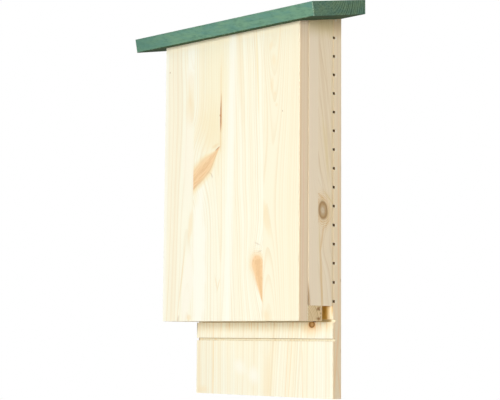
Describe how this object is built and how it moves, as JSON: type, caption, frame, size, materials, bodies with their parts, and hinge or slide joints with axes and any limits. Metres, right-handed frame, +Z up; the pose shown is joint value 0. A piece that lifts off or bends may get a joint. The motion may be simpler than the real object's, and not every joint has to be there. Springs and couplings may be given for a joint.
{
  "type": "bat box",
  "caption": "Flat wooden bat box for a wall, with a long grooved landing board, a narrow entrance slot underneath and a sloping green roof board.",
  "frame": {"origin": "centre of the hanging hole, on the wall plane at the back board's rear face", "axes": "+X to the viewer's right, +Y out of the back into the wall, +Z up"},
  "size_m": [0.33, 0.1093, 0.5242],
  "materials": {
    "planed_pine": "bare planed softwood",
    "green_stained_pine": "matt green wood stain",
    "zinc_plated_steel": "bright zinc plate",
    "bright_steel": "bare drawn wire"
  },
  "bodies": {
    "root": {"back_board": "planed_pine", "front_board": "planed_pine", "side_batten_left": "planed_pine", "side_batten_right": "planed_pine", "entrance_strip": "planed_pine", "roof_board": "green_stained_pine", "back_screws": "zinc_plated_steel", "roof_screws": "zinc_plated_steel", "strip_nails": "bright_steel"}
  },
  "joints": []
}
